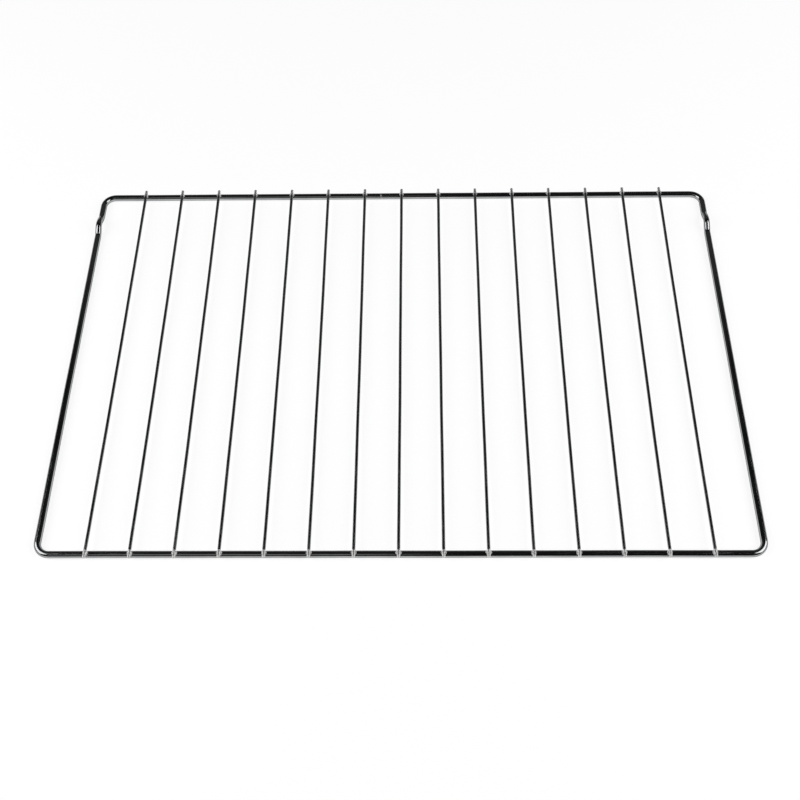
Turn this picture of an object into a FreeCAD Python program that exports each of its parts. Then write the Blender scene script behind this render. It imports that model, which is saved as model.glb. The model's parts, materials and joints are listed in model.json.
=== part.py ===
"""Bakery cooling rack: a bent frame wire with fine grid wires resistance-welded across it.

Millimetres, +Z up. The origin is on the surface the rack lies on, under the middle of the rack.
X runs along the long rails (left to right), Y along the grid wires (front to back).
Each separate piece of metal is its own solid, in its own node and its own STEP file.
"""
import FreeCAD, Part
import math
import os

from FreeCAD import Vector

# ---------------------------------------------------------------- driving dimensions (mm)
RACK_WIDTH = 600.0            # over the outside of the two side rails, along X
RACK_DEPTH = 400.0            # over the outside of the front and rear rails, along Y
FRAME_WIRE_DIAMETER = 6.0     # the closed outer frame
GRID_WIRE_DIAMETER = 2.8      # the fine wires that carry the load
GRID_WIRE_COUNT = 15
SIDE_GAP_PITCHES = 1.14       # side rail to the first grid wire, in grid-wire pitches
CORNER_BEND_RADIUS = 11.0     # frame corners, to the wire's centre line

GRID_WIRE_OVERHANG = 1.8      # each grid wire end stands this far past the rail's outer face
GRID_WIRE_DIP = 2.0           # how far a grid wire hangs below its ends at mid-span
GRID_END_STRAIGHT = 12.0      # straight stretch at each end of a grid wire, where it crosses the rail
WELD_SET_DOWN = 0.35          # how far welding sinks a grid wire into the rail

STOP_HUMP_HEIGHT = 4.0        # rise of the side rail's centre line at the stop hump
STOP_HUMP_FROM_REAR = 38.0    # hump centre to the rear rail's centre line
STOP_HUMP_BASE = 23.0         # length of the hump at its foot, along the rail
STOP_HUMP_CROWN = 4.0         # length of its top, between the two upper bends
STOP_HUMP_BEND_RADIUS = 8.0   # each of its four bends, to the wire's centre line

BUTT_WELD_AT_PITCHES = -0.56  # where the frame wire's two ends meet on the rear rail, from the middle
BUTT_WELD_GAP = 1.0           # thickness of the fused metal between the two ends
BUTT_WELD_FLASH = 0.2         # how far its rounded collar stands proud of the wire

NUGGET_WIDTH = 5.0            # weld nugget along the rail
NUGGET_LENGTH = 4.4           # weld nugget along the grid wire
NUGGET_HEIGHT = 2.1           # weld nugget, top to bottom

# ---------------------------------------------------------------- worked out from those
FRAME_RADIUS = FRAME_WIRE_DIAMETER / 2
GRID_RADIUS = GRID_WIRE_DIAMETER / 2
RAIL_X = RACK_WIDTH / 2 - FRAME_RADIUS            # side rail centre line
RAIL_Y = RACK_DEPTH / 2 - FRAME_RADIUS            # front and rear rail centre lines
RAIL_Z = FRAME_RADIUS                             # the frame lies on the surface
PITCH = 2 * RAIL_X / (GRID_WIRE_COUNT - 1 + 2 * SIDE_GAP_PITCHES)
SEAT_Z = FRAME_WIRE_DIAMETER + GRID_RADIUS - WELD_SET_DOWN   # grid wire centre line over a rail
GRID_END_Y = RACK_DEPTH / 2 + GRID_WIRE_OVERHANG
GRID_ARC_END_Y = GRID_END_Y - GRID_END_STRAIGHT              # the arc runs between the straight ends
BUTT_WELD_X = BUTT_WELD_AT_PITCHES * PITCH
WELD_PLANE_Z = FRAME_WIRE_DIAMETER - WELD_SET_DOWN / 2       # where grid wire and rail fuse


def grid_wire_x(index):
    """Centre line of grid wire number index, counted from 0 at the left."""
    return (index - (GRID_WIRE_COUNT - 1) / 2) * PITCH


# ---------------------------------------------------------------- frame wire
def rounded_path(corners):
    """A wire through straight runs and tangent arcs. corners is a list of (point, bend radius)."""
    edges = []
    here = corners[0][0]
    for before, corner, after in zip(corners, corners[1:], corners[2:]):
        point, radius = corner
        incoming = (point - before[0]).normalize()
        outgoing = (after[0] - point).normalize()
        turn = incoming.getAngle(outgoing)
        tangent_length = radius * math.tan(turn / 2)
        arc_start = point - incoming * tangent_length
        arc_end = point + outgoing * tangent_length
        towards_centre = (outgoing - incoming).normalize()
        corner_to_arc = radius / math.cos(turn / 2) - radius
        arc_middle = point + towards_centre * corner_to_arc
        edges.append(Part.LineSegment(here, arc_start).toShape())
        edges.append(Part.Arc(arc_start, arc_middle, arc_end).toShape())
        here = arc_end
    edges.append(Part.LineSegment(here, corners[-1][0]).toShape())
    return Part.Wire(edges)


def stop_hump(x, heading):
    """The hump's four bends on a side rail. heading is +1 when the path runs to the back, else -1."""
    middle = RAIL_Y - STOP_HUMP_FROM_REAR
    foot = heading * STOP_HUMP_BASE / 2
    crown = heading * STOP_HUMP_CROWN / 2
    top_z = RAIL_Z + STOP_HUMP_HEIGHT
    return [
        (Vector(x, middle - foot, RAIL_Z), STOP_HUMP_BEND_RADIUS),
        (Vector(x, middle - crown, top_z), STOP_HUMP_BEND_RADIUS),
        (Vector(x, middle + crown, top_z), STOP_HUMP_BEND_RADIUS),
        (Vector(x, middle + foot, RAIL_Z), STOP_HUMP_BEND_RADIUS),
    ]


def frame_wire():
    """One rod bent round all four corners; its ends stop either side of the butt weld."""
    first_end = Vector(BUTT_WELD_X + BUTT_WELD_GAP / 2, RAIL_Y, RAIL_Z)
    last_end = Vector(BUTT_WELD_X - BUTT_WELD_GAP / 2, RAIL_Y, RAIL_Z)
    corners = [(first_end, 0)]
    corners.append((Vector(RAIL_X, RAIL_Y, RAIL_Z), CORNER_BEND_RADIUS))
    corners.extend(stop_hump(RAIL_X, -1))
    corners.append((Vector(RAIL_X, -RAIL_Y, RAIL_Z), CORNER_BEND_RADIUS))
    corners.append((Vector(-RAIL_X, -RAIL_Y, RAIL_Z), CORNER_BEND_RADIUS))
    corners.extend(stop_hump(-RAIL_X, 1))
    corners.append((Vector(-RAIL_X, RAIL_Y, RAIL_Z), CORNER_BEND_RADIUS))
    corners.append((last_end, 0))
    path = rounded_path(corners)
    section = Part.Wire(Part.makeCircle(FRAME_RADIUS, first_end, Vector(1, 0, 0)))
    rod = path.makePipeShell([section], True, False)
    expected = path.Length * math.pi * FRAME_RADIUS ** 2
    print("frame wire: length %.1f mm, volume / (section x length) %.5f" % (path.Length, rod.Volume / expected))
    return rod


def frame_butt_weld():
    """The fused disc between the frame wire's two ends: a low collar of flash, ground flat below."""
    half = BUTT_WELD_GAP / 2
    crown = FRAME_RADIUS + BUTT_WELD_FLASH
    edge = FRAME_RADIUS
    profile = [
        Part.LineSegment(Vector(-half, 0, 0), Vector(-half, edge, 0)).toShape(),
        Part.Arc(Vector(-half, edge, 0), Vector(0, crown, 0), Vector(half, edge, 0)).toShape(),
        Part.LineSegment(Vector(half, edge, 0), Vector(half, 0, 0)).toShape(),
        Part.LineSegment(Vector(half, 0, 0), Vector(-half, 0, 0)).toShape(),
    ]
    face = Part.Face(Part.Wire(profile))
    disc = face.revolve(Vector(0, 0, 0), Vector(1, 0, 0), 360)
    disc.translate(Vector(BUTT_WELD_X, RAIL_Y, RAIL_Z))
    above_surface = Part.makeBox(4 * half, 4 * crown, 4 * crown,
                                 Vector(BUTT_WELD_X - 2 * half, RAIL_Y - 2 * crown, 0))
    return disc.common(above_surface)


# ---------------------------------------------------------------- grid wires and their welds
def rail_cylinder(y):
    """The stretch of front or rear rail that the grid wires lie across, for cutting seats."""
    length = 2 * (RAIL_X - CORNER_BEND_RADIUS)
    return Part.makeCylinder(FRAME_RADIUS, length, Vector(-length / 2, y, RAIL_Z), Vector(1, 0, 0))


def whole_grid_wire(x):
    """A grid wire before welding: straight ends over the rails and one shallow arc that dips between."""
    # The ends follow the arc's tangents, so they slope a little; the rails are at RAIL_Y on that slope.
    past_arc = RAIL_Y - GRID_ARC_END_Y
    slope = 2 * GRID_WIRE_DIP / (GRID_ARC_END_Y + 2 * past_arc)
    arc_end_z = SEAT_Z - slope * past_arc
    wire_end_z = SEAT_Z + slope * (GRID_END_Y - RAIL_Y)
    front_end = Vector(x, -GRID_END_Y, wire_end_z)
    front_arc_end = Vector(x, -GRID_ARC_END_Y, arc_end_z)
    middle = Vector(x, 0, SEAT_Z - GRID_WIRE_DIP)
    rear_arc_end = Vector(x, GRID_ARC_END_Y, arc_end_z)
    rear_end = Vector(x, GRID_END_Y, wire_end_z)
    path = Part.Wire([
        Part.LineSegment(front_end, front_arc_end).toShape(),
        Part.Arc(front_arc_end, middle, rear_arc_end).toShape(),
        Part.LineSegment(rear_arc_end, rear_end).toShape(),
    ])
    section = Part.Wire(Part.makeCircle(GRID_RADIUS, front_end, front_arc_end - front_end))
    return path.makePipeShell([section], True, False)


def grid_wire(index):
    """A grid wire with the shallow saddle that welding presses into its underside at each rail."""
    wire = whole_grid_wire(grid_wire_x(index))
    for y in (-RAIL_Y, RAIL_Y):
        wire = wire.cut(rail_cylinder(y))
    return wire


def weld_nugget(index, y):
    """The fillets of fused metal in the four corners between one grid wire and one rail."""
    blob = Part.makeSphere(0.5)
    stretch = FreeCAD.Matrix()
    stretch.scale(Vector(NUGGET_WIDTH, NUGGET_LENGTH, NUGGET_HEIGHT))
    blob = blob.transformGeometry(stretch)
    blob.translate(Vector(grid_wire_x(index), y, WELD_PLANE_Z))
    blob = blob.cut(rail_cylinder(y))
    return blob.cut(whole_grid_wire(grid_wire_x(index)))


def weld_nuggets(y):
    """All the nuggets along one rail."""
    solids = []
    for index in range(GRID_WIRE_COUNT):
        solids.extend(weld_nugget(index, y).Solids)
    return Part.makeCompound(solids)


# ---------------------------------------------------------------- every node of the rack
def build_nodes():
    nodes = {
        "frame_wire": frame_wire(),
        "frame_butt_weld": frame_butt_weld(),
    }
    for index in range(GRID_WIRE_COUNT):
        nodes["grid_wire_%02d" % (index + 1)] = grid_wire(index)
    nodes["front_weld_nuggets"] = weld_nuggets(-RAIL_Y)
    nodes["rear_weld_nuggets"] = weld_nuggets(RAIL_Y)
    return nodes


os.makedirs("parts", exist_ok=True)
for name, shape in build_nodes().items():
    box = shape.BoundBox
    print("%-20s solids %2d  valid %s  volume %9.2f  z %.2f to %.2f"
          % (name, len(shape.Solids), shape.isValid(), shape.Volume, box.ZMin, box.ZMax))
    shape.exportStep("parts/%s.step" % name)
print("pitch %.3f mm, clear gap between grid wires %.2f mm" % (PITCH, PITCH - GRID_WIRE_DIAMETER))
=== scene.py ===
"""Looks of the bakery cooling rack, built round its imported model. Metres, +Z up, its back edge at +Y.

Every CAD node is replaced by a finer mesh of the same piece at the same place: the bent frame wire, its
butt weld, the fifteen grid wires with their sheared ends, and the weld metal that joins them.
"""
import json
import math

import bmesh
import bpy
import numpy as np
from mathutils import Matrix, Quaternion, Vector


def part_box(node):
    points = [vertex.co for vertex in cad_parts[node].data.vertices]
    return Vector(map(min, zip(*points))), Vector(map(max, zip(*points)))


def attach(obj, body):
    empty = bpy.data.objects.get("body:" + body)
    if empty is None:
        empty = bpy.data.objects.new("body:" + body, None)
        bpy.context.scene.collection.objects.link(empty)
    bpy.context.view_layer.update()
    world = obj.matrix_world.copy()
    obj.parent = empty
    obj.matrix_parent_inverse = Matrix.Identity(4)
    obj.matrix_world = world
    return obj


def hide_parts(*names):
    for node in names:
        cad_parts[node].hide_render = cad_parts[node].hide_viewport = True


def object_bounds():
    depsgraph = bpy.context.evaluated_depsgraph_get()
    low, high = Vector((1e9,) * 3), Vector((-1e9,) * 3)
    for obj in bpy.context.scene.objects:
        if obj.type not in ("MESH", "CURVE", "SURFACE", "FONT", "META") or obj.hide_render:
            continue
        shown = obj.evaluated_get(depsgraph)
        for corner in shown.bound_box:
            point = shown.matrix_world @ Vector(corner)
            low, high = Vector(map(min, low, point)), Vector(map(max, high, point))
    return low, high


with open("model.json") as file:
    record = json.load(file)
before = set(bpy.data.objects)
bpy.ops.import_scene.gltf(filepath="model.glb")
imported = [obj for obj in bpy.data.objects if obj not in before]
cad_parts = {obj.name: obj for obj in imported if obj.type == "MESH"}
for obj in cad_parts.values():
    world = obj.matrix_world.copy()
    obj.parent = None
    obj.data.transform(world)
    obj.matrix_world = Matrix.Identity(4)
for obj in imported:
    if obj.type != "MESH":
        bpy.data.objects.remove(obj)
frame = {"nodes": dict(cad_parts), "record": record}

CAD_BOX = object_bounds()
MM = 0.001

# ---------------------------------------------------------------- sizes and places from the frame
MOUNTS = {mount["name"]: mount for mount in frame["record"]["mounts"]}
RAIL_RADIUS = MOUNTS["right_side_rail"]["dims"]["r_mm"] * MM
RAIL_X = MOUNTS["right_side_rail"]["pos_m"][0]
RAIL_Z = MOUNTS["right_side_rail"]["pos_m"][2]
RAIL_Y = round(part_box("frame_wire")[1].y, 4) - RAIL_RADIUS
GRID_NODES = sorted(name for name in frame["nodes"] if name.startswith("grid_wire_"))
GRID_END_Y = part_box(GRID_NODES[0])[1].y
BUTT_WELD_LOW, BUTT_WELD_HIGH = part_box("frame_butt_weld")
BUTT_WELD_X = (BUTT_WELD_LOW.x + BUTT_WELD_HIGH.x) / 2

# ---------------------------------------------------------------- sizes the two models share
GRID_RADIUS = 1.4 * MM
GRID_DIP = 2.0 * MM
WELD_SET_DOWN = 0.35 * MM
CORNER_BEND_RADIUS = 11.0 * MM
HUMP_HEIGHT = 4.0 * MM
HUMP_FROM_REAR = 38.0 * MM
HUMP_BASE = 23.0 * MM
HUMP_CROWN = 4.0 * MM
HUMP_BEND_RADIUS = 8.0 * MM
SEAT_Z = 2 * RAIL_RADIUS + GRID_RADIUS - WELD_SET_DOWN      # a grid wire's centre line over a rail

# ---------------------------------------------------------------- fineness and hand-made unevenness
SHARPEST_SMOOTH = math.radians(50)      # a sharper edge than this is shaded as an edge
FRAME_SIDES = 48                # points in a ring round the frame wire
GRID_SIDES = 28                 # points in a ring round a grid wire
ROUTE_STEP = 0.25 * MM          # spacing of the points that a bent wire's centre line is worked out at
STRAIGHT_STEP = 5.0 * MM        # ring spacing along straight wire
BEND_STEP = 0.4 * MM            # ring spacing where the wire curves
BEND_EASE = 4.0 * MM            # length over which a bend fades into the straight wire beside it
LEAST_BEND = 0.001              # share of a corner's bend that still counts as curved
BEND_OVALITY = 0.03             # how far a bend flattens the wire
BEND_SWELL = 0.25               # how much of that flattening swells it the other way
CROSSING_STEP = 0.35 * MM       # ring spacing where a grid wire crosses a rail
RAIL_WAVINESS = 0.10 * MM       # how far a straight rail wanders
SIDE_RAIL_WAVES = (0.31, 0.173, 0.09)       # wavelengths of that wandering, in metres
CROSS_RAIL_WAVES = (0.37, 0.201, 0.11)
GRID_WAVINESS = 0.10 * MM       # how far a grid wire wanders sideways
GRID_WAVES = (0.34, 0.19, 0.1)
HELD_STRAIGHT = 6               # how quickly that wandering grows from nothing at the rails
GRID_DIP_SPREAD = 0.12 * MM     # how much the dip differs from wire to wire
END_CHAMFER = 0.14 * MM         # worn corner round a grid wire's cut end
END_SHEAR = 0.10                # slope of the cut, as rise over run
END_BURR = 0.10 * MM            # lip that the shear leaves under the cut
ELECTRODE_FLAT = 0.13 * MM      # depth of the flat that a welding electrode presses on a grid wire's top
ELECTRODE_REACH = 2.6 * MM      # how far that flat runs either way from the rail's centre line
WELD_FILLET = 2.3 * MM          # blend size of the weld metal between wire and rail
WELD_REACH_ALONG_RAIL = 2.5 * MM
WELD_REACH_ALONG_WIRE = 2.2 * MM
WELD_LUMPINESS = 0.09
WELD_LUMPS = (3, 5, 8, 13)      # waves round a weld, from coarse to fine
WELD_SINK = 0.02 * MM           # how far the metal stays under the surface where it thins out
WELD_RAY_STEPS = 90
BUTT_RINGS = 33
BUTT_FLASH = 0.13 * MM          # height of the butt weld's collar
BUTT_FLASH_SPREAD = 0.35        # its width, as a share of the weld's half length
BUTT_HALF_LENGTH = 1.8 * MM
BUTT_UNEVENNESS = 0.05 * MM
BUTT_LUMPS = (2, 3, 5)          # waves round the collar
BUTT_SINK = 0.05 * MM           # how far its two ends are sunk in the rod

FRAME_SEED = 11
BUTT_WELD_SEED = 23
FRONT_WELD_SEED = 51
REAR_WELD_SEED = 52
FIRST_GRID_SEED = 100

# ---------------------------------------------------------------- surface values, noise scales per metre
MATT_LENGTH = 1.8 * MM          # a grid wire is matt from this far inside a rail's centre line outwards
MATT_RAGGEDNESS = 1.2 * MM
MATT_COLOUR = (0.95, 0.95, 0.94, 1)
MATT_ROUGHNESS = 0.50
RUB_ROUGHNESS = 0.10            # added where the top is rubbed
PIT_ROUGHNESS = 0.35            # added inside a pit
WELD_ROUGHNESS = (0.30, 0.60)   # smoothest and roughest weld metal
RIM_TINT = (0.35, 0.35, 0.36, 1)    # chrome mirrors a little less just inside its rims
CUT_BRIGHT = (0.78, 0.78, 0.77, 1)
CUT_DARK = (0.46, 0.46, 0.455, 1)
FRAME_BRIGHT = (0.44, 0.445, 0.45, 1)
FRAME_DULL = (0.36, 0.365, 0.37, 1)
FRAME_POLISH = (0.07, 0.15)     # least and most roughness
GRID_BRIGHT = (0.46, 0.465, 0.47, 1)
GRID_DULL = (0.38, 0.385, 0.39, 1)
GRID_POLISH = (0.12, 0.22)
GROUND_BRIGHT = (0.55, 0.55, 0.545, 1)      # the butt weld, ground nearly flush
GROUND_DULL = (0.40, 0.40, 0.395, 1)
WELD_BRIGHT = (0.80, 0.80, 0.79, 1)
WELD_DULL = (0.62, 0.62, 0.61, 1)
CLOUD_SCALE = 55.0              # cloudy polish
PIT_SCALE = 700.0               # about one pit cell to 1.4 mm
PIT_EDGE_SCALE = 5200.0
PIT_ZONE_SCALE = 90.0
DIE_LINE_SCALES = (22, 4200, 4200)      # along the wire, then twice across it
RUB_SCALES = (60, 900, 900)
MATT_EDGE_SCALE = 900.0
MATT_GRAIN_SCALE = 2400.0
SHEAR_SCALES = (7000, 900, 900)
WELD_GRAIN_SCALE = 2600.0
WELD_CLOUD_SCALE = 700.0
WELD_PUCKER_SCALE = 1100.0
DIE_LINE_DEPTH = 0.006 * MM
PIT_DEPTH = 0.012 * MM
GRAIN_DEPTH = 0.05 * MM
PUCKER_DEPTH = 0.12 * MM


# ---------------------------------------------------------------- swept wires
def unit(vector):
    return vector / np.linalg.norm(vector)


def smooth_waves(places, amplitude, wavelengths, rng):
    """A gentle wandering along a wire: a few sine waves of random phase."""
    total = np.zeros(len(places))
    for wavelength in wavelengths:
        phase = rng.uniform(0, 2 * math.pi)
        total += np.sin(2 * math.pi * places / wavelength + phase)
    return amplitude * total / len(wavelengths)


def tangents_of(centres):
    tangents = np.gradient(centres, axis=0)
    return tangents / np.linalg.norm(tangents, axis=1)[:, None]


def carried_normals(tangents, first_normal):
    """Normals that turn with the wire and never twist about it."""
    normals = np.empty_like(tangents)
    normal = first_normal
    for index, tangent in enumerate(tangents):
        normal = unit(normal - tangent * normal.dot(tangent))
        normals[index] = normal
    return normals


def tube_vertices(centres, tangents, normals, radii_across, radii_up, sides):
    """Rings of points round a wire: (ring, side, xyz). radii_up is measured along the normals."""
    angles = np.linspace(0, 2 * math.pi, sides, endpoint=False)
    across = np.cross(tangents, normals)
    rings = centres[:, None, :] + (
        across[:, None, :] * (radii_across[:, None] * np.cos(angles))[:, :, None]
        + normals[:, None, :] * (radii_up[:, None] * np.sin(angles))[:, :, None]
    )
    return rings


def tube_faces(ring_count, sides):
    faces = []
    for ring in range(ring_count - 1):
        for side in range(sides):
            following = (side + 1) % sides
            here = ring * sides
            there = here + sides
            faces.append((here + side, here + following, there + following, there + side))
    return faces


def cap_faces(ring_count, sides):
    """Fans that close a tube's two ends on two centre points, added after all the rings."""
    first_centre = ring_count * sides
    last_centre = first_centre + 1
    last_ring = (ring_count - 1) * sides
    faces = []
    for side in range(sides):
        following = (side + 1) % sides
        faces.append((side, first_centre, following))
        faces.append((last_ring + side, last_ring + following, last_centre))
    return faces


def tube_object(name, rings, along, radius):
    """A closed tube from its rings of points. along is each ring's distance along the wire."""
    ring_count, sides, _ = rings.shape
    points = rings.reshape(-1, 3)
    ends = np.array([rings[0].mean(axis=0), rings[-1].mean(axis=0)])
    faces = tube_faces(ring_count, sides) + cap_faces(ring_count, sides)
    angles = np.linspace(0, 2 * math.pi, sides, endpoint=False)
    coords = np.empty((ring_count, sides, 3))
    coords[:, :, 0] = along[:, None]
    coords[:, :, 1] = radius * np.cos(angles)
    coords[:, :, 2] = radius * np.sin(angles)
    end_coords = np.array([[along[0], 0, 0], [along[-1], 0, 0]])
    wire_coord = np.vstack([coords.reshape(-1, 3), end_coords])
    return mesh_object(name, np.vstack([points, ends]), faces, wire_coord)


def mesh_object(name, points, faces, wire_coord):
    """A smooth-shaded mesh object that carries each point's place along and round its wire."""
    mesh = bpy.data.meshes.new(name)
    mesh.from_pydata(points.tolist(), [], faces)
    attribute = mesh.attributes.new("wire_coord", "FLOAT_VECTOR", "POINT")
    attribute.data.foreach_set("vector", np.asarray(wire_coord, dtype=float).ravel())
    fixer = bmesh.new()
    fixer.from_mesh(mesh)
    bmesh.ops.recalc_face_normals(fixer, faces=fixer.faces)
    fixer.to_mesh(mesh)
    fixer.free()
    mesh.shade_smooth()
    mesh.set_sharp_from_angle(angle=SHARPEST_SMOOTH)
    piece = bpy.data.objects.new(name, mesh)
    bpy.context.scene.collection.objects.link(piece)
    return piece


# ---------------------------------------------------------------- the bent frame wire
def rounded_route(corners):
    """Close points along straight runs and tangent arcs, and how sharply each point bends."""
    points = [np.array(corners[0][0])]
    bends = [0.0]

    def straight_to(target):
        start = points[-1]
        length = np.linalg.norm(target - start)
        steps = max(1, round(length / ROUTE_STEP))
        for step in range(1, steps + 1):
            points.append(start + (target - start) * step / steps)
            bends.append(0.0)

    for before, corner, after in zip(corners, corners[1:], corners[2:]):
        point, radius = np.array(corner[0]), corner[1]
        incoming = unit(point - np.array(before[0]))
        outgoing = unit(np.array(after[0]) - point)
        turn = math.acos(float(incoming.dot(outgoing)))
        tangent_length = radius * math.tan(turn / 2)
        straight_to(point - incoming * tangent_length)
        sideways = unit(outgoing - incoming * incoming.dot(outgoing))
        start = points[-1]
        steps = max(4, round(radius * turn / ROUTE_STEP))
        for step in range(1, steps + 1):
            angle = turn * step / steps
            ahead = incoming * radius * math.sin(angle)
            aside = sideways * radius * (1 - math.cos(angle))
            points.append(start + ahead + aside)
            bends.append(CORNER_BEND_RADIUS / radius)
    straight_to(np.array(corners[-1][0]))
    return np.array(points), np.array(bends)


def eased(values):
    """The values smoothed along the route, so that bends start and stop gradually."""
    window = np.hanning(2 * round(BEND_EASE / ROUTE_STEP / 2) + 1)
    padded = np.pad(values, len(window) // 2, mode="reflect", reflect_type="odd")
    return np.convolve(padded, window / window.sum(), "valid")


def ring_choice(along, curved):
    """Which route points get a ring: close together in bends, far apart along straight wire."""
    chosen = [0]
    for index in range(1, len(along) - 1):
        step = BEND_STEP if curved[index] else STRAIGHT_STEP
        if along[index] - along[chosen[-1]] >= step:
            chosen.append(index)
    chosen.append(len(along) - 1)
    return chosen


def stop_hump(x, heading):
    """The four bends of a side rail's stop hump. heading is +1 towards the back, else -1."""
    middle = RAIL_Y - HUMP_FROM_REAR
    foot = heading * HUMP_BASE / 2
    crown = heading * HUMP_CROWN / 2
    return [
        ((x, middle - foot, RAIL_Z), HUMP_BEND_RADIUS),
        ((x, middle - crown, RAIL_Z + HUMP_HEIGHT), HUMP_BEND_RADIUS),
        ((x, middle + crown, RAIL_Z + HUMP_HEIGHT), HUMP_BEND_RADIUS),
        ((x, middle + foot, RAIL_Z), HUMP_BEND_RADIUS),
    ]


def frame_corners():
    corners = [((BUTT_WELD_X, RAIL_Y, RAIL_Z), 0)]
    corners.append(((RAIL_X, RAIL_Y, RAIL_Z), CORNER_BEND_RADIUS))
    corners.extend(stop_hump(RAIL_X, -1))
    corners.append(((RAIL_X, -RAIL_Y, RAIL_Z), CORNER_BEND_RADIUS))
    corners.append(((-RAIL_X, -RAIL_Y, RAIL_Z), CORNER_BEND_RADIUS))
    corners.extend(stop_hump(-RAIL_X, 1))
    corners.append(((-RAIL_X, RAIL_Y, RAIL_Z), CORNER_BEND_RADIUS))
    corners.append(((BUTT_WELD_X, RAIL_Y, RAIL_Z), 0))
    return corners


def make_frame_wire():
    """One long rod, bent flat round four corners and up over two stop humps, a little oval in its bends."""
    rng = np.random.default_rng(FRAME_SEED)
    route, bends = rounded_route(frame_corners())
    centres = np.stack([eased(column) for column in route.T], axis=1)
    along = np.concatenate([[0], np.cumsum(np.linalg.norm(np.diff(centres, axis=0), axis=1))])
    tangents = tangents_of(centres)
    side_waves = smooth_waves(along, RAIL_WAVINESS, SIDE_RAIL_WAVES, rng)
    cross_waves = smooth_waves(along, RAIL_WAVINESS, CROSS_RAIL_WAVES, rng)
    centres[:, 0] += side_waves * np.abs(tangents[:, 1])
    centres[:, 1] += cross_waves * np.abs(tangents[:, 0])
    normals = carried_normals(tangents, np.array([0.0, 0.0, 1.0]))
    bending = eased(bends)
    oval = BEND_OVALITY * bending
    wide = RAIL_RADIUS * (1 - oval)
    tall = RAIL_RADIUS * (1 + oval * BEND_SWELL)
    rings = tube_vertices(centres, tangents, normals, wide, tall, FRAME_SIDES)
    rings[:, :, 2] = np.maximum(rings[:, :, 2], 0)
    chosen = ring_choice(along, bending > LEAST_BEND)
    rings = rings[chosen]
    along = along[chosen]
    return tube_object("frame_wire_rod", rings, along, RAIL_RADIUS)


def make_butt_weld():
    """The low collar where the rod's two ends are fused, uneven round the rod and ground flat below."""
    rng = np.random.default_rng(BUTT_WELD_SEED)
    offsets = np.linspace(-BUTT_HALF_LENGTH, BUTT_HALF_LENGTH, BUTT_RINGS)
    bulge = np.exp(-((offsets / (BUTT_FLASH_SPREAD * BUTT_HALF_LENGTH)) ** 2))
    hidden = BUTT_SINK * np.abs(offsets / BUTT_HALF_LENGTH) ** 3
    radii = RAIL_RADIUS + BUTT_FLASH * bulge - hidden
    centres = np.tile([BUTT_WELD_X, RAIL_Y, RAIL_Z], (BUTT_RINGS, 1))
    centres[:, 0] += offsets
    tangents = np.tile([1.0, 0.0, 0.0], (BUTT_RINGS, 1))
    normals = np.tile([0.0, 0.0, 1.0], (BUTT_RINGS, 1))
    rings = tube_vertices(centres, tangents, normals, radii, radii, FRAME_SIDES)
    angles = np.linspace(0, 2 * math.pi, FRAME_SIDES, endpoint=False)
    uneven = sum(np.sin(waves * angles + rng.uniform(0, 2 * math.pi)) for waves in BUTT_LUMPS)
    uneven /= len(BUTT_LUMPS)
    outward = unit_rows(rings - centres[:, None, :])
    rings += outward * (BUTT_UNEVENNESS * bulge[:, None] * uneven[None, :])[:, :, None]
    rings[:, :, 2] = np.maximum(rings[:, :, 2], 0)
    return tube_object("frame_butt_weld_collar", rings, offsets, RAIL_RADIUS)


def unit_rows(vectors):
    return vectors / np.linalg.norm(vectors, axis=-1, keepdims=True)


# ---------------------------------------------------------------- grid wires
def grid_height(y, dip):
    """Centre-line height of a grid wire: highest over the rails, lowest at mid-span."""
    return SEAT_Z - dip + dip * (y / RAIL_Y) ** 2


def grid_ring_places():
    """Where a grid wire's rings go along Y: close together over the rails, wider between."""
    near_rail = 4 * RAIL_RADIUS
    fine = np.arange(RAIL_Y - near_rail, GRID_END_Y - END_CHAMFER, CROSSING_STEP)
    half = np.concatenate([np.arange(0, RAIL_Y - near_rail, STRAIGHT_STEP), fine])
    return np.concatenate([-half[:0:-1], half])


def end_ring_rows():
    """A cut end's rings from its face inwards: how far back each lies, and its radius as a share."""
    face = [(0.0, 0.35), (0.0, 0.7), (0.0, 1 - END_CHAMFER / GRID_RADIUS)]
    chamfer = [(0.35 * END_CHAMFER, 0.965), (0.75 * END_CHAMFER, 0.995)]
    return face + chamfer


def make_grid_wire(name, x, rng):
    """A drawn wire with a shallow dip, a pressed seat over each rail and two sheared ends."""
    dip = GRID_DIP + rng.uniform(-GRID_DIP_SPREAD, GRID_DIP_SPREAD)
    y = grid_ring_places()
    held = 1 - (y / RAIL_Y) ** 2
    sideways = smooth_waves(y, GRID_WAVINESS, GRID_WAVES, rng) * np.clip(held * HELD_STRAIGHT, 0, 1)
    centres = np.stack([x + sideways, y, grid_height(y, dip)], axis=1)
    radii = np.full(len(y), GRID_RADIUS)

    front = end_ring_rows()
    end_height = grid_height(GRID_END_Y, dip)
    front_points = np.array([[x, -GRID_END_Y + back, end_height] for back, _ in front])
    rear_points = np.array([[x, GRID_END_Y - back, end_height] for back, _ in front])[::-1]
    end_radii = np.array([share * GRID_RADIUS for _, share in front])
    end_slope = unit(np.array([0.0, 1.0, 2 * dip * GRID_END_Y / RAIL_Y ** 2]))
    front_slope = end_slope * np.array([1.0, 1.0, -1.0])
    tangents = np.vstack([
        np.tile(front_slope, (len(front), 1)),
        tangents_of(centres),
        np.tile(end_slope, (len(front), 1)),
    ])
    centres = np.vstack([front_points, centres, rear_points])
    radii = np.concatenate([end_radii, radii, end_radii[::-1]])
    normals = carried_normals(tangents, np.array([0.0, 0.0, 1.0]))
    rings = tube_vertices(centres, tangents, normals, radii, radii, GRID_SIDES)
    shear_ends(rings, centres, len(front) + 4, rng)
    press_seats(rings)
    return tube_object(name, rings, centres[:, 1], GRID_RADIUS)


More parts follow.
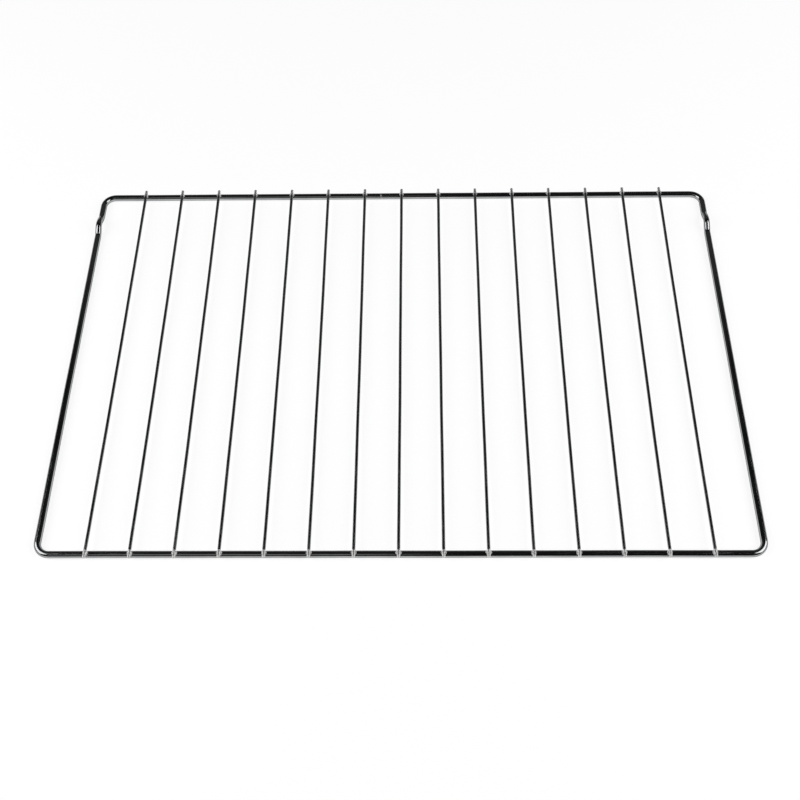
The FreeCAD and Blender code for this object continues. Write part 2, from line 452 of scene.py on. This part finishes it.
def shear_ends(rings, centres, ring_count, rng):
    """Slopes each cut face and draws a small burr down at its lower edge."""
    for at_rear in (False, True):
        shear = END_SHEAR * rng.uniform(0.4, 1.3)
        burr = END_BURR * rng.uniform(0.3, 1.0)
        side = slice(-ring_count, None) if at_rear else slice(0, ring_count)
        outward = 1 if at_rear else -1
        block = rings[side]
        height = (block[:, :, 2] - centres[side, None, 2]) / GRID_RADIUS
        fade = np.linspace(1, 0, ring_count)
        if at_rear:
            fade = fade[::-1]
        block[:, :, 1] -= outward * fade[:, None] * shear * GRID_RADIUS * (1 + height) / 2
        low = np.clip(-height - 0.55, 0, 1)
        block[:, :, 2] -= fade[:, None] ** 3 * burr * low


def press_seats(rings):
    """The saddle that welding presses under a grid wire over a rail, and the electrode's flat on top."""
    for rail_y in (-RAIL_Y, RAIL_Y):
        dy = rings[:, :, 1] - rail_y
        dz = rings[:, :, 2] - RAIL_Z
        distance = np.hypot(dy, dz)
        inside = distance < RAIL_RADIUS
        lift = np.where(inside, RAIL_RADIUS / np.maximum(distance, 1e-9), 1.0)
        rings[:, :, 1] = rail_y + dy * lift
        rings[:, :, 2] = RAIL_Z + dz * lift
        run_out = ELECTRODE_FLAT * (dy / ELECTRODE_REACH) ** 4
        rings[:, :, 2] = np.minimum(rings[:, :, 2], SEAT_Z + GRID_RADIUS - ELECTRODE_FLAT + run_out)


# ---------------------------------------------------------------- weld metal
def icosphere_directions():
    ball = bmesh.new()
    bmesh.ops.create_icosphere(ball, subdivisions=4, radius=1.0)
    directions = np.array([vert.co[:] for vert in ball.verts])
    faces = [tuple(vert.index for vert in face.verts) for face in ball.faces]
    ball.free()
    return unit_rows(directions), faces


def fused_distance(points, seat_height, blend):
    """Signed distance to a rail and a grid wire that run into each other with a fillet of size blend."""
    to_rail = np.hypot(points[..., 1], points[..., 2]) - RAIL_RADIUS
    to_wire = np.hypot(points[..., 0], points[..., 2] - seat_height) - GRID_RADIUS
    overlap = np.maximum(blend - np.abs(to_rail - to_wire), 0) / blend
    return np.minimum(to_rail, to_wire) - overlap ** 2 * blend / 4


def nugget_points(directions, rng):
    """One weld's fused metal, round the point where wire and rail touch: only its fillet shows."""
    seat_height = SEAT_Z - RAIL_Z
    contact = np.array([0.0, 0.0, RAIL_RADIUS - WELD_SET_DOWN / 2])
    blend = WELD_FILLET * rng.uniform(0.85, 1.15)
    reach = 1 / np.sqrt(
        (directions[:, 0] / (WELD_REACH_ALONG_RAIL * rng.uniform(0.9, 1.05))) ** 2
        + (directions[:, 1] / WELD_REACH_ALONG_WIRE) ** 2
        + (directions[:, 2] / WELD_REACH_ALONG_RAIL) ** 2
    )
    steps = np.linspace(0, 1, WELD_RAY_STEPS)
    radii = reach[:, None] * steps
    samples = contact + directions[:, None, :] * radii[:, :, None]
    depth = fused_distance(samples, seat_height, blend) + WELD_SINK
    outside = depth > 0
    hit = np.where(outside.any(axis=1), outside.argmax(axis=1), len(steps) - 1)
    surface = radii[np.arange(len(radii)), hit]
    lumps = np.zeros(len(directions))
    for waves in WELD_LUMPS:
        axis = unit(rng.normal(size=3))
        lumps += np.sin(waves * directions.dot(axis) + rng.uniform(0, 2 * math.pi)) / len(WELD_LUMPS)
    surface *= 1 + WELD_LUMPINESS * lumps
    return contact + directions * surface[:, None]


def make_nuggets(name, rail_y, places, rng):
    """All the welds along one rail as one piece of many closed lumps."""
    directions, faces = icosphere_directions()
    all_points = []
    all_faces = []
    for place in places:
        points = nugget_points(directions, rng) + np.array([place, rail_y, RAIL_Z])
        first = len(all_points) * len(directions)
        all_points.append(points)
        all_faces.extend(tuple(first + index for index in face) for face in faces)
    points = np.vstack(all_points)
    return mesh_object(name, points, all_faces, points)


# ---------------------------------------------------------------- materials
class Nodes:
    """A short way to write a material's node tree."""

    def __init__(self, name):
        self.material = bpy.data.materials.new(name)
        self.material.use_nodes = True
        self.tree = self.material.node_tree
        self.shader = self.tree.nodes["Principled BSDF"]

    def add(self, kind, inputs=None, **settings):
        node = self.tree.nodes.new(kind)
        for key, value in settings.items():
            setattr(node, key, value)
        for key, value in (inputs or {}).items():
            self.feed(node.inputs[key], value)
        return node

    def feed(self, socket, value):
        if isinstance(value, bpy.types.NodeSocket):
            self.tree.links.new(value, socket)
        else:
            socket.default_value = value

    def scaled(self, vector, scale):
        return self.add("ShaderNodeMapping", {"Vector": vector, "Scale": scale}).outputs["Vector"]

    def noise(self, vector, scale, detail=3.0, roughness=0.5):
        inputs = {"Vector": vector, "Scale": scale, "Detail": detail, "Roughness": roughness}
        return self.add("ShaderNodeTexNoise", inputs).outputs["Fac"]

    def remap(self, value, low, high, to_low, to_high):
        inputs = {"Value": value, "From Min": low, "From Max": high, "To Min": to_low, "To Max": to_high}
        return self.add("ShaderNodeMapRange", inputs).outputs["Result"]

    def mask(self, value, low, high):
        """0 where value is at most low, 1 where it is at least high, with a ramp between."""
        return self.remap(value, low, high, 0.0, 1.0)

    def math(self, operation, first, second):
        node = self.add("ShaderNodeMath", operation=operation)
        self.feed(node.inputs[0], first)
        self.feed(node.inputs[1], second)
        return node.outputs[0]

    def mix_colour(self, factor, first, second):
        node = self.add("ShaderNodeMix", data_type="RGBA")
        self.feed(node.inputs["Factor"], factor)
        self.feed(node.inputs[6], first)
        self.feed(node.inputs[7], second)
        return node.outputs[2]

    def bump(self, height, distance, strength, normal=None):
        inputs = {"Height": height, "Distance": distance, "Strength": strength}
        if normal is not None:
            inputs["Normal"] = normal
        return self.add("ShaderNodeBump", inputs).outputs["Normal"]


def shade_of(colour, share):
    """A darker opaque colour: share is one number, or one for each of red, green and blue."""
    shares = np.broadcast_to(share, 3)
    return tuple(float(level * part) for level, part in zip(colour, shares)) + (1.0,)


def pit_mask(n, place):
    """1 inside small, irregular pits of different sizes, gathered in a few zones."""
    cells = n.add("ShaderNodeTexVoronoi", {"Vector": place, "Scale": PIT_SCALE}, feature="F1")
    ragged = n.remap(n.noise(place, PIT_EDGE_SCALE), 0.3, 0.7, -0.03, 0.03)
    distance = n.math("ADD", cells.outputs["Distance"], ragged)
    chance = n.add("ShaderNodeSeparateColor", {"Color": cells.outputs["Color"]}).outputs["Red"]
    size = n.remap(chance, 0.6, 1.0, -0.05, 0.09)
    pits = n.remap(n.math("SUBTRACT", distance, size), 0.0, 0.03, 1.0, 0.0)
    zone = n.mask(n.noise(place, PIT_ZONE_SCALE), 0.50, 0.60)
    return n.math("MULTIPLY", pits, zone)


def drawn_chrome(name, bright, dull, low_roughness, high_roughness, weld_at=None):
    """Bright chrome plate on drawn wire: faint die lines along it, cloudy polish, rubbed tops, small pits.

    weld_at is where the wire is welded, either way from its middle: the electrodes and the shear have
    left it matt from there to its ends, and its cut faces carry the marks of the shear.
    """
    n = Nodes(name)
    wire = n.add("ShaderNodeAttribute", attribute_name="wire_coord").outputs["Vector"]
    place = n.add("ShaderNodeTexCoord").outputs["Object"]
    surface = n.add("ShaderNodeNewGeometry")
    die_lines = n.noise(n.scaled(wire, DIE_LINE_SCALES), 1.0, detail=5, roughness=0.65)
    clouds = n.noise(place, CLOUD_SCALE, detail=4)
    pitted = pit_mask(n, place)
    upward = n.add("ShaderNodeSeparateXYZ", {"Vector": surface.outputs["Normal"]}).outputs["Z"]
    rub_patches = n.mask(n.noise(n.scaled(wire, RUB_SCALES), 1.0, detail=5), 0.45, 0.65)
    rubbed = n.math("MULTIPLY", n.mask(upward, 0.75, 0.98), rub_patches)

    tone = n.mix_colour(n.mask(clouds, 0.35, 0.7), bright, dull)
    tone = n.mix_colour(n.remap(die_lines, 0.3, 0.7, 0.90, 1.0), shade_of(dull, 0.2), tone)
    tone = n.mix_colour(pitted, tone, shade_of(dull, (0.35, 0.33, 0.31)))
    polish = n.remap(clouds, 0.3, 0.75, low_roughness, high_roughness)
    rough = n.math("ADD", polish, n.math("MULTIPLY", rubbed, RUB_ROUGHNESS))
    rough = n.math("ADD", rough, n.math("MULTIPLY", pitted, PIT_ROUGHNESS))
    normal = n.bump(die_lines, DIE_LINE_DEPTH, 0.6)
    normal = n.bump(pitted, -PIT_DEPTH, 0.5, normal)

    if weld_at is not None:
        along = n.add("ShaderNodeSeparateXYZ", {"Vector": wire}).outputs["X"]
        inside_weld = n.math("SUBTRACT", weld_at, n.math("ABSOLUTE", along, 0.0))
        edge = n.math("MULTIPLY", n.noise(place, MATT_EDGE_SCALE, detail=5), MATT_RAGGEDNESS)
        ragged = n.math("ADD", inside_weld, edge)
        matt = n.remap(ragged, MATT_LENGTH, MATT_LENGTH + MATT_RAGGEDNESS, 1.0, 0.0)
        tone = n.mix_colour(matt, tone, MATT_COLOUR)
        rough = n.math("MAXIMUM", rough, n.math("MULTIPLY", matt, MATT_ROUGHNESS))
        facing = n.add("ShaderNodeSeparateXYZ", {"Vector": surface.outputs["True Normal"]}).outputs["Y"]
        flat_end = n.mask(n.math("ABSOLUTE", facing, 0.0), 0.75, 0.9)
        cut_face = n.math("MULTIPLY", matt, flat_end)
        shear_marks = n.noise(n.scaled(place, SHEAR_SCALES), 1.0, detail=5, roughness=0.6)
        cut_tone = n.mix_colour(n.mask(shear_marks, 0.35, 0.65), CUT_DARK, CUT_BRIGHT)
        tone = n.mix_colour(cut_face, tone, cut_tone)
        grain = n.noise(place, MATT_GRAIN_SCALE, detail=4)
        normal = n.bump(grain, GRAIN_DEPTH, n.math("MULTIPLY", matt, 0.55), normal)
        normal = n.bump(shear_marks, GRAIN_DEPTH, n.math("MULTIPLY", cut_face, 0.7), normal)

    n.shader.inputs["Metallic"].default_value = 1.0
    n.shader.inputs["Specular Tint"].default_value = RIM_TINT
    n.feed(n.shader.inputs["Base Color"], tone)
    n.feed(n.shader.inputs["Roughness"], rough)
    n.feed(n.shader.inputs["Normal"], normal)
    return n.material


def weld_chrome(name, bright, dull):
    """The same plate over weld metal: greyer, rougher and finely grained, darker where it was burnt."""
    n = Nodes(name)
    place = n.add("ShaderNodeTexCoord").outputs["Object"]
    grain = n.noise(place, WELD_GRAIN_SCALE, detail=5)
    clouds = n.noise(place, WELD_CLOUD_SCALE, detail=4)
    tone = n.mix_colour(n.mask(grain, 0.35, 0.65), dull, bright)
    tone = n.mix_colour(n.mask(clouds, 0.5, 0.72), tone, shade_of(dull, (0.45, 0.42, 0.40)))
    puckers = n.bump(n.noise(place, WELD_PUCKER_SCALE, detail=2), PUCKER_DEPTH, 0.5)
    n.shader.inputs["Metallic"].default_value = 1.0
    n.feed(n.shader.inputs["Base Color"], tone)
    n.feed(n.shader.inputs["Roughness"], n.remap(clouds, 0.3, 0.7, *WELD_ROUGHNESS))
    n.feed(n.shader.inputs["Normal"], n.bump(grain, GRAIN_DEPTH, 0.6, puckers))
    return n.material


# ---------------------------------------------------------------- putting the rack together
def finish_piece(piece, node, material):
    piece.data.materials.append(material)
    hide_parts(node)
    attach(piece, "root")


def build_rack():
    frame_plate = drawn_chrome("frame_wire_chrome", FRAME_BRIGHT, FRAME_DULL, *FRAME_POLISH)
    grid_plate = drawn_chrome("grid_wire_chrome", GRID_BRIGHT, GRID_DULL, *GRID_POLISH, weld_at=RAIL_Y)
    ground_plate = weld_chrome("ground_weld_chrome", GROUND_BRIGHT, GROUND_DULL)
    weld_plate = weld_chrome("weld_chrome", WELD_BRIGHT, WELD_DULL)
    finish_piece(make_frame_wire(), "frame_wire", frame_plate)
    finish_piece(make_butt_weld(), "frame_butt_weld", ground_plate)
    places = []
    for number, node in enumerate(GRID_NODES):
        low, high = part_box(node)
        places.append(round((low.x + high.x) / 2, 5))
        rng = np.random.default_rng(FIRST_GRID_SEED + number)
        wire = make_grid_wire(node + "_drawn", places[-1], rng)
        finish_piece(wire, node, grid_plate)
    front = make_nuggets("front_weld_fillets", -RAIL_Y, places, np.random.default_rng(FRONT_WELD_SEED))
    finish_piece(front, "front_weld_nuggets", weld_plate)
    rear = make_nuggets("rear_weld_fillets", RAIL_Y, places, np.random.default_rng(REAR_WELD_SEED))
    finish_piece(rear, "rear_weld_nuggets", weld_plate)


# ---------------------------------------------------------------- floor, light and camera
FLOOR_SIZE = 12.0
FLOOR_COLOUR = (0.32, 0.32, 0.32, 1)
FLOOR_ROUGHNESS = 0.7
FLOOR_SPECULAR = 0.2
FLOOR_GLOW = 0.84
ROOM_GLOW = 0.012
WHITE = (1, 1, 1, 1)

# Name, azimuth and elevation of the light as seen from the rack, its distance, width, height, radiance.
# Azimuth 0 is straight right, 90 straight back, 180 straight left.
LIGHTS = (
    ("right_softbox", -8.0, 37.0, 1.7, 1.35, 1.25, 2.4),
    ("left_softbox", 188.0, 37.0, 1.7, 1.35, 1.25, 2.4),
    ("front_card", -110.0, 46.0, 1.6, 0.72, 0.95, 0.24),
    ("back_card", 90.0, 18.0, 1.9, 3.60, 2.40, 0.04),
)

VIEW_PITCH = 56.54              # degrees below level
VIEW_YAW = -1.89                # degrees to the right of straight ahead
VIEW_ROLL = -1.80
VIEW_DISTANCE = 1.031
VIEW_AIM_TO_FRONT = 0.0450      # the point looked at lies this far in front of the rack's middle
VIEW_LENS = 52.34


def rack_middle():
    low, high = CAD_BOX
    return Vector(((low.x + high.x) / 2, (low.y + high.y) / 2, low.z))


def make_floor():
    bpy.ops.mesh.primitive_plane_add(size=FLOOR_SIZE, location=rack_middle())
    floor = bpy.context.object
    floor.name = "floor"
    n = Nodes("pale_floor")
    n.shader.inputs["Base Color"].default_value = FLOOR_COLOUR
    n.shader.inputs["Roughness"].default_value = FLOOR_ROUGHNESS
    n.shader.inputs["Specular IOR Level"].default_value = FLOOR_SPECULAR
    n.shader.inputs["Emission Color"].default_value = WHITE
    n.shader.inputs["Emission Strength"].default_value = FLOOR_GLOW
    floor.data.materials.append(n.material)


def make_light(name, azimuth, elevation, distance, width, height, radiance):
    """A soft rectangular light that faces the rack, as bright all over as radiance says."""
    light = bpy.data.lights.new(name, "AREA")
    light.shape = "RECTANGLE"
    light.size = width
    light.size_y = height
    light.energy = radiance * math.pi * width * height
    lamp = bpy.data.objects.new(name, light)
    bpy.context.scene.collection.objects.link(lamp)
    level = math.cos(math.radians(elevation))
    towards = Vector((
        level * math.cos(math.radians(azimuth)),
        level * math.sin(math.radians(azimuth)),
        math.sin(math.radians(elevation)),
    ))
    lamp.location = rack_middle() + towards * distance
    lamp.rotation_mode = "QUATERNION"
    lamp.rotation_quaternion = towards.to_track_quat("Z", "Y")


def make_world():
    """A dark room for the chrome to mirror, seen as a pale grey past the floor's edge."""
    world = bpy.data.worlds.new("studio")
    bpy.context.scene.world = world
    world.use_nodes = True
    nodes = world.node_tree.nodes
    links = world.node_tree.links
    room = nodes["Background"]
    room.inputs["Color"].default_value = WHITE
    room.inputs["Strength"].default_value = ROOM_GLOW
    pale = nodes.new("ShaderNodeBackground")
    pale.inputs["Color"].default_value = WHITE
    pale.inputs["Strength"].default_value = FLOOR_GLOW
    seen = nodes.new("ShaderNodeLightPath")
    choose = nodes.new("ShaderNodeMixShader")
    links.new(seen.outputs["Is Camera Ray"], choose.inputs["Fac"])
    links.new(room.outputs["Background"], choose.inputs[1])
    links.new(pale.outputs["Background"], choose.inputs[2])
    links.new(choose.outputs["Shader"], nodes["World Output"].inputs["Surface"])


def make_camera():
    pitch = math.radians(VIEW_PITCH)
    yaw = math.radians(VIEW_YAW)
    ahead = Vector((math.sin(yaw) * math.cos(pitch), math.cos(yaw) * math.cos(pitch), -math.sin(pitch)))
    aim = rack_middle() - Vector((0, VIEW_AIM_TO_FRONT, 0))
    data = bpy.data.cameras.new("view")
    data.lens = VIEW_LENS
    camera = bpy.data.objects.new("view", data)
    bpy.context.scene.collection.objects.link(camera)
    camera.location = aim - ahead * VIEW_DISTANCE
    camera.rotation_mode = "QUATERNION"
    roll = Quaternion((0, 0, 1), math.radians(VIEW_ROLL))
    camera.rotation_quaternion = ahead.to_track_quat("-Z", "Y") @ roll
    bpy.context.scene.camera = camera


make_camera()
make_world()
make_floor()
for light_row in LIGHTS:
    make_light(*light_row)
build_rack()
bpy.context.scene.view_settings.view_transform = "Standard"
